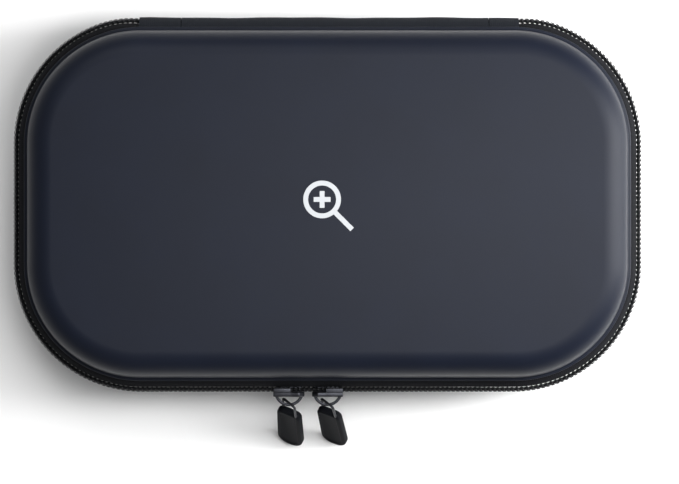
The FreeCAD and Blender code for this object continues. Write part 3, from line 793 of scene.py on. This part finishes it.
def slider(name, centre, nose_side):
    nose, waist = HALF_LENGTH - CHAMFER, NOSE_HALF - CHAMFER
    plate = [(-HALF_LENGTH, -TAIL_HALF), (-HALF_LENGTH + TAIL, -TAIL_HALF), (nose, -NOSE_HALF),
             (HALF_LENGTH, -waist), (HALF_LENGTH, waist), (nose, NOSE_HALF),
             (-HALF_LENGTH + TAIL, TAIL_HALF), (-HALF_LENGTH, TAIL_HALF)]
    guide = HALF_LENGTH - GUIDE_MARGIN
    blocks = {"plate": (plate, PLATE_FACE, PLATE_THICKNESS, PLATE_BEVEL),
              "inner": (rectangle(guide, INNER_HALF), INNER_FACE, INNER_DEPTH, INNER_BEVEL),
              "web": (rectangle(guide, WEB_HALF), WEB_FACE, WEB_DEPTH, WEB_BEVEL)}
    for side in (-1, 1):
        lip = [(-HALF_LENGTH, side * LIP_TOP), (-HALF_LENGTH + TAIL, side * LIP_TOP),
               (-HALF_LENGTH + TAIL, side * TAIL_HALF), (-HALF_LENGTH, side * TAIL_HALF)]
        blocks[f"lip_{side}"] = (lip, PLATE_FACE - LIP_REACH, LIP_REACH + LIP_SUNK, LIP_BEVEL)
    return join(name, [block(f"{name}_{part}", *sizes, nose_side, centre) for part, sizes in blocks.items()])


CROWN_SPAN, CROWN_RISE, CROWN_THICKNESS, CROWN_HEIGHT = 8.75, 3.1, 0.95, 1.3
CROWN_ENDS, CROWN_STEPS, CROWN_SIDES, CROWN_ROUNDING = 1.03, 25, 24, 0.45


def rounded(value):
    """Push a sine or cosine towards 1, which squares off a circle and leaves its corners round."""
    return math.copysign(abs(value) ** CROWN_ROUNDING, value)


def crown(name, centre):
    """The arch: a flat strip bent to an arc, its section a rounded rectangle."""
    radius = (CROWN_SPAN ** 2 / 4 + CROWN_RISE ** 2) / (2 * CROWN_RISE)
    sag = radius - CROWN_RISE
    sweep_angle = math.acos(sag / radius) * CROWN_ENDS
    grid = []
    for turn in np.linspace(-sweep_angle, sweep_angle, CROWN_STEPS):
        row = []
        for t in np.linspace(0, 2 * math.pi, CROWN_SIDES, endpoint=False):
            across = rounded(math.cos(t)) * CROWN_THICKNESS / 2
            up = rounded(math.sin(t)) * CROWN_HEIGHT / 2
            r = radius - CROWN_THICKNESS / 2 + across
            reach = PLATE_FACE + PLATE_THICKNESS - sag + r * math.cos(turn)
            row.append((centre + r * math.sin(turn), -(RIM_Y + reach), MIDDLE + up))
        grid.append(row)
    return sweep(name, grid, sharp=60)


# %% [markdown]
# ## Pulls
# The pull is a bent wire loop with a rubber tab moulded round its foot. Both are drawn hanging straight
# down from the pivot, then turned by the twist, lean and tilt that the frame's solids have.

# %% Loops and tabs
PULL_TILT, LOOP_TWIST, TAB_TWIST = 30.0, 43.0, 25.0
LOOP_WIRE, LOOP_SIDES, LOOP_CORNER = 0.4, 12, 0.85
LOOP_TOP, LOOP_FOOT, LOOP_TOP_HALF, LOOP_FOOT_HALF = 1.35, -5.6, 2.45, 2.75
TAB_TOP, TAB_TIP, TAB_HALF, TAB_THICKNESS = -4.0, -25.3, 4.3, 2.6
TAB_TAPER, TAB_TOP_CORNER, TAB_TIP_CORNER = 0.3, 2.2, 4.0
# from the tab's side to the dish in its face: how far in from the outline, and how far below the face
TAB_PROFILE = [(0.0, 0.7), (0.12, 0.35), (0.35, 0.12), (0.7, 0), (1.15, 0), (1.35, 0.08), (1.5, 0.25),
               (1.75, 0.32)]


def corner_arc(centre, radius, start, end, steps=8):
    turns = np.radians(np.linspace(start, end, steps))
    return [(centre[0] + radius * math.cos(t), centre[1] + radius * math.sin(t)) for t in turns]


def rounded_outline(half_top, half_foot, top, foot, r_top, r_foot):
    """A closed outline with a rounded top and foot of unequal widths, and its directions outwards."""
    points = corner_arc((half_top - r_top, top - r_top), r_top, 0, 90)
    points += corner_arc((-half_top + r_top, top - r_top), r_top, 90, 180)
    points += corner_arc((-half_foot + r_foot, foot + r_foot), r_foot, 180, 270)
    points += corner_arc((half_foot - r_foot, foot + r_foot), r_foot, 270, 360)
    points = np.array(points)
    tangents = np.roll(points, -1, axis=0) - np.roll(points, 1, axis=0)
    tangents /= np.linalg.norm(tangents, axis=1)[:, None]
    return points, np.column_stack([tangents[:, 1], -tangents[:, 0]])


def pull_matrix(pivot, twist, lean):
    turn = Matrix.Rotation(math.radians(PULL_TILT), 4, Vector((-1, 0, 0)))
    turn = turn @ Matrix.Rotation(math.radians(lean), 4, Vector((0, -1, 0)))
    turn = turn @ Matrix.Rotation(math.radians(-twist), 4, Vector((0, 0, 1)))
    return Matrix.Translation(Vector(pivot)) @ turn


def wire_loop(name, pivot, lean):
    outline, _ = rounded_outline(LOOP_TOP_HALF, LOOP_FOOT_HALF, LOOP_TOP, LOOP_FOOT, LOOP_CORNER,
                                 LOOP_CORNER)
    path = np.column_stack([outline[:, 0], np.zeros(len(outline)), outline[:, 1]])
    loop = sweep(name, tube(path, LOOP_WIRE, LOOP_SIDES), close_path=True, sharp=80)
    loop.data.transform(pull_matrix(pivot, LOOP_TWIST, lean))
    return loop


def rubber_tab(name, pivot, lean):
    outline, outward = rounded_outline(TAB_HALF - TAB_TAPER, TAB_HALF, TAB_TOP, TAB_TIP,
                                       TAB_TOP_CORNER, TAB_TIP_CORNER)
    face = [(inset, TAB_THICKNESS / 2 - below) for inset, below in TAB_PROFILE]
    rings = [(inset, -height) for inset, height in face[::-1]] + face

    def place(points, height):
        return np.column_stack([points[:, 0], np.full(len(points), height), points[:, 1]])

    tab = stack(name, outline, outward, rings, place, sharp=50)
    tab.data.transform(pull_matrix(pivot, TAB_TWIST, lean))
    return tab


joints = {joint["name"]: joint for joint in frame["joints"]}
SIDES = {"left": (1, 1.0), "right": (-1, 6.0)}
for side, (nose_side, lean) in SIDES.items():
    pivot = joints[f"{side}_pull_swing"]["pos_m"]
    centre = pivot[0] / MM
    body, pull = f"{side}_slider", f"{side}_pull"
    finish_piece(slider(f"{side}_cast_slider", centre, nose_side), body, GUNMETAL,
                 f"{side}_slider_body", slot="slider_metal")
    finish_piece(crown(f"{side}_arch", centre), body, GUNMETAL, f"{side}_slider_crown", slot="slider_metal")
    finish_piece(wire_loop(f"{side}_wire_loop", pivot, lean), pull, GUNMETAL, f"{side}_pull_loop",
                 slot="slider_metal")
    finish_piece(rubber_tab(f"{side}_rubber_tab", pivot, lean), pull, RUBBER, f"{side}_pull_tab",
                 slot="pull_rubber")
    print(side, "slider and pull at x =", round(centre, 1), "mm")

# %% [markdown]
# ## Net pocket
# The pocket in the lid is a hexagonal net. A grid of hexagon edges, given a yarn's thickness by a node tree,
# is a real open net: light passes through it, as it can't through a picture of one. Such nets are usually
# finer. This one is drawn coarse so that its mesh stays small.

# %% The net
NET_CELL = 2.08
NET_YARN = 0.28
NET_CORNER = RIM_CORNER - 4.8


def yarn_tree():
    tree, given = start_tree("yarn on edges", Edges="Geometry", Radius="Float", Finish="Material")
    lines = node(tree, "GeometryNodeMeshToCurve", {"Mesh": given["Edges"]})
    ring = node(tree, "GeometryNodeCurvePrimitiveCircle", {"Resolution": 4, "Radius": given["Radius"]})
    yarn = node(tree, "GeometryNodeCurveToMesh",
                {"Curve": lines.outputs["Curve"], "Profile Curve": ring.outputs["Curve"], "Fill Caps": True})
    return end_tree(tree, yarn.outputs["Mesh"], given["Finish"])


def hexagon_edges(low, high, cell):
    """Points and edges of hexagons that fit between two corners and inside the rounded back corners."""
    reach = cell / math.sqrt(3)
    centre_x, centre_y = high[0] - NET_CORNER, high[1] - NET_CORNER
    edges, index = set(), {}
    rows = int((high[1] - low[1]) / (1.5 * reach)) + 1
    columns = int((high[0] - low[0]) / cell) + 1
    for row in range(rows):
        for column in range(columns):
            x = low[0] + cell * (column + 0.5 * (row % 2)) + cell / 2
            y = low[1] + 1.5 * reach * row + reach
            past = max(abs(x) - centre_x, 0), max(y - centre_y, 0)
            outside = abs(x) > high[0] - cell / 2 or y > high[1] - reach
            if outside or math.hypot(*past) > NET_CORNER - cell / 2:
                continue
            ring = []
            for k in range(6):
                turn = math.pi / 6 + k * math.pi / 3
                key = (round(x + reach * math.cos(turn), 2), round(y + reach * math.sin(turn), 2))
                ring.append(index.setdefault(key, len(index)))
            edges.update(tuple(sorted(pair)) for pair in zip(ring, ring[1:] + ring[:1]))
    points = [key for key, _ in sorted(index.items(), key=lambda item: item[1])]
    return points, sorted(edges)


low, high = node_box("mesh_pocket")
net_level = (low[2] + high[2]) / 2
points, edges = hexagon_edges(low, high, NET_CELL)
net_mesh = bpy.data.meshes.new("net_edges")
net_mesh.from_pydata([(x * MM, y * MM, net_level * MM) for x, y in points], edges, [])
carrier = bpy.data.objects.new("net_edges", net_mesh)
bpy.context.collection.objects.link(carrier)
net = run_tree("pocket_net", carrier, yarn_tree(), {"Radius": NET_YARN * MM, "Finish": NET})
finish_piece(net, "lid", NET, "mesh_pocket", slot="net")

# %% [markdown]
# ## Elastic hem, strap and patches
# The pocket's open edge and the strap are ribbed elastic. Each is a line given a thickness and run across
# the case, with its ends pressed flat where it is sewn.

# %% Straight strips
HEM_LEAF = 0.5
STRAP_THICKNESS, STRAP_PRESSED = 1.2, 0.9
STRAP_END, STRAP_SEWN, STRAP_RAISED = 38, 29, 22
PATCH_THICKNESS = 0.45


def straight_strip(name, line, thickness, low_x, high_x):
    """A strip whose section lies in y and z, run along x."""
    section = ribbon_section(line, thickness)
    at = np.linspace(low_x, high_x, max(2, int((high_x - low_x) / 2)))
    grid = np.array([[(x, y, z) for y, z in section] for x in at])
    return sweep(name, grid, sharp=60)


low, high = node_box("pocket_elastic")
y_front, y_back = low[1] + HEM_LEAF / 2, high[1]
z_low, z_high = low[2] + HEM_LEAF / 2, high[2] - HEM_LEAF / 2
hem_line = soften([(y_back, z_low), (y_front, z_low), (y_front, z_high), (y_back, z_high)])
hem = straight_strip("pocket_hem", hem_line, HEM_LEAF, low[0], high[0])
finish_piece(hem, "lid", ELASTIC, "pocket_elastic", slot="elastic")
cut_size(hem_line, low, high)[::-1]

low, high = node_box("strap_elastic")
level = low[2] + STRAP_THICKNESS / 2
raised = level + (high[2] - low[2] - STRAP_THICKNESS)
strap_line = [(-STRAP_END, level), (-STRAP_SEWN, level), (-STRAP_RAISED, raised),
              (STRAP_RAISED, raised), (STRAP_SEWN, level), (STRAP_END, level)]
strap = straight_strip("elastic_strap", soften(strap_line, 3), STRAP_THICKNESS * STRAP_PRESSED, low[0],
                       high[0])
finish_piece(strap, "base", ELASTIC, "strap_elastic", slot="elastic")
cut_size(strap_line, low, high)[::-1]

low, high = node_box("strap_anchor_patches")
level = (low[2] + high[2]) / 2
patches = []
for name, near, far in (("front_patch", low[1], -STRAP_SEWN), ("back_patch", STRAP_SEWN, high[1])):
    patches.append(straight_strip(name, [(near, level), (far, level)], PATCH_THICKNESS, low[0], high[0]))
patch = join("strap_patches", patches)
finish_piece(patch, "base", SPINE, "strap_anchor_patches", slot="spine")
print("patches joined")

# %% [markdown]
# ## Seams inside
# Lock-stitch seams hold the bindings, the pocket's hem and the strap's patches. Each seam is one stitch set
# out along a line, shorter than the step between stitches, so single stitches can be seen.

# %% Seams
SEAM_PITCH, SEAM_THREAD_RADIUS = 2.6, 0.19
BINDING_ROWS, BINDING_ROW_HEIGHT = {"outer": 2.2, "inner": 6.2}, 3.72
PATCH_MARGIN, HEM_MARGIN, HEM_SIDE = 1.2, 1.0, 3
PROUD = 0.02


def seam(name, path, body, slot):
    one = stitch(name + "_one", SEAM_PITCH, SEAM_THREAD_RADIUS, (0, 0))
    finish_piece(repeat_along(name, path, one, SEAM_PITCH, SEAM_THREAD), body, SEAM_THREAD, slot=slot)


def level_path(points, level):
    points = np.asarray(points, float)
    return np.column_stack([points, np.full(len(points), level)])


for half in ("base", "lid"):
    at = distances(0, RIM_LENGTH, 1.0)
    place, outward = rim(at)
    for row, inset in BINDING_ROWS.items():
        level = MIDDLE + sign_of(half) * BINDING_ROW_HEIGHT
        seam(f"{half}_{row}_seam", level_path(place - inset * outward, level), half, "binding")

low, high = node_box("pocket_elastic")
hem_end, hem_row = float(high[0]) - HEM_SIDE, high[1] - HEM_MARGIN
seam("hem_seam", level_path([(-hem_end, hem_row), (hem_end, hem_row)], low[2] - PROUD), "lid", "elastic")

low, high = node_box("strap_anchor_patches")
side, sewn = float(high[0]) - PATCH_MARGIN, STRAP_SEWN + PATCH_MARGIN
for name, near, far in (("front", low[1] + PATCH_MARGIN, -sewn), ("back", sewn, high[1] - PATCH_MARGIN)):
    frame_line = [(-side, near), (side, near), (side, far), (-side, far), (-side, near), (side, far)]
    cross_line = [(-side, far), (side, near)]
    for part, line in (("frame", frame_line), ("cross", cross_line)):
        seam(f"{name}_patch_{part}", level_path(line, high[2] + PROUD), "base", "spine")
print("seams done")

# %% [markdown]
# ## Parts that keep their CAD shape
# The foam is sealed between skin and lining, and the sign is a flat print. Their shapes are right as they
# are, so they only need their finishes.

# %% Carried-over nodes
CARRIED = {"base_foam": FOAM, "lid_foam": FOAM, "lid_emblem": PRINT}
for node_name, material in CARRIED.items():
    obj = frame["nodes"][node_name]
    obj.data.materials.clear()
    obj.data.materials.append(material)
print("carried over:", sorted(CARRIED))

# %% [markdown]
# ## Floor, light and camera
# A pale floor and soft panels show a dark matt object best. The right panel brightens that side of the lid,
# the low one gives the long highlight down its shoulder, and the one at the back lays a soft shadow in front.

# %% Floor and lights
FLOOR, SKY_STRENGTH = 3.0, 0.34


def floor():
    mesh = bpy.data.meshes.new("floor")
    corners = [(-FLOOR, -FLOOR, 0), (FLOOR, -FLOOR, 0), (FLOOR, FLOOR, 0), (-FLOOR, FLOOR, 0)]
    mesh.from_pydata(corners, [], [(0, 1, 2, 3)])
    obj = bpy.data.objects.new("floor", mesh)
    bpy.context.collection.objects.link(obj)
    material, _, shader = new_material("white table", Roughness=0.9)
    shader.inputs["Base Color"].default_value = colour("#F2F2F2")
    mesh.materials.append(material)


def panel(name, place, target, width, height, power):
    """An area light of that size and power in metres and watts, at a place, facing its target."""
    light = bpy.data.lights.new(name, "AREA")
    light.shape = "RECTANGLE"
    light.size, light.size_y = width, height
    light.energy = power
    obj = bpy.data.objects.new(name, light)
    bpy.context.collection.objects.link(obj)
    obj.location = place
    obj.rotation_euler = (Vector(target) - Vector(place)).to_track_quat("-Z", "Y").to_euler()


floor()
panel("right panel", (0.22, 0.03, 0.32), (0.06, 0, 0.04), 0.12, 0.60, 2.2)
panel("low right panel", (0.40, 0.03, 0.13), (0.09, 0, 0.03), 0.16, 0.50, 3.2)
panel("back panel", (-0.12, 0.62, 0.85), (0, 0, 0), 0.50, 0.50, 3.0)
world = bpy.data.worlds.new("studio")
world.use_nodes = True
world.node_tree.nodes["Background"].inputs["Color"].default_value = colour("#FFFFFF")
world.node_tree.nodes["Background"].inputs["Strength"].default_value = SKY_STRENGTH
bpy.context.scene.world = world
# plain display values, so a white table reads as white
bpy.context.scene.view_settings.view_transform = "Standard"
print("lights set")

# %% Camera
LENS_MM, SENSOR_MM = 200.0, 36.0
FRAME_WIDTH = 0.2122
VIEW_CENTRE = (0.00375, -0.0119)
camera_data = bpy.data.cameras.new("camera")
camera_data.lens = LENS_MM
camera_data.sensor_width = SENSOR_MM
camera = bpy.data.objects.new("camera", camera_data)
bpy.context.collection.objects.link(camera)
rim_level = float(lid_low[2]) * MM
camera.location = (*VIEW_CENTRE, rim_level + FRAME_WIDTH * LENS_MM / SENSOR_MM)
bpy.context.scene.camera = camera
print("camera", [round(c, 3) for c in camera.location])
